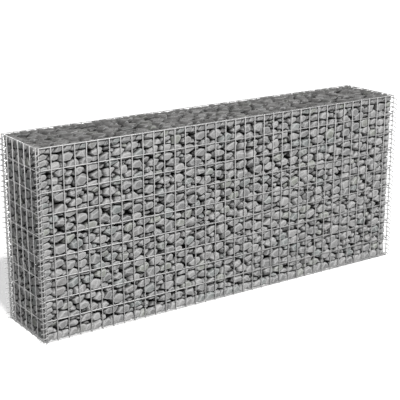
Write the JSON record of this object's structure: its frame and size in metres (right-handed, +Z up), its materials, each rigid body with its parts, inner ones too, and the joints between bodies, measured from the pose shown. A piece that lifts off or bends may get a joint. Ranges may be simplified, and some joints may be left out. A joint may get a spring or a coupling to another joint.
{
  "type": "gabion wall",
  "caption": "Long narrow wire mesh basket filled with stones, its walls bound at the corners by spiral binders, standing free as a garden wall or raised planter.",
  "frame": {"origin": "middle of the footprint, on the ground", "axes": "+X along the wall, +Y from the front to the back, +Z up"},
  "size_m": [1.845, 0.345, 0.778],
  "materials": {
    "galvanised_wire": "dull galvanised",
    "granite": "rough"
  },
  "bodies": {
    "root": {"front_mesh_panel": "galvanised_wire", "back_mesh_panel": "galvanised_wire", "left_end_mesh_panel": "galvanised_wire", "right_end_mesh_panel": "galvanised_wire", "base_mesh_panel": "galvanised_wire", "front_left_binder": "galvanised_wire", "front_right_binder": "galvanised_wire", "back_left_binder": "galvanised_wire", "back_right_binder": "galvanised_wire", "front_facing_stones": "granite", "back_facing_stones": "granite", "left_end_facing_stones": "granite", "right_end_facing_stones": "granite", "core_stones": "granite", "top_stones": "granite"}
  },
  "joints": []
}
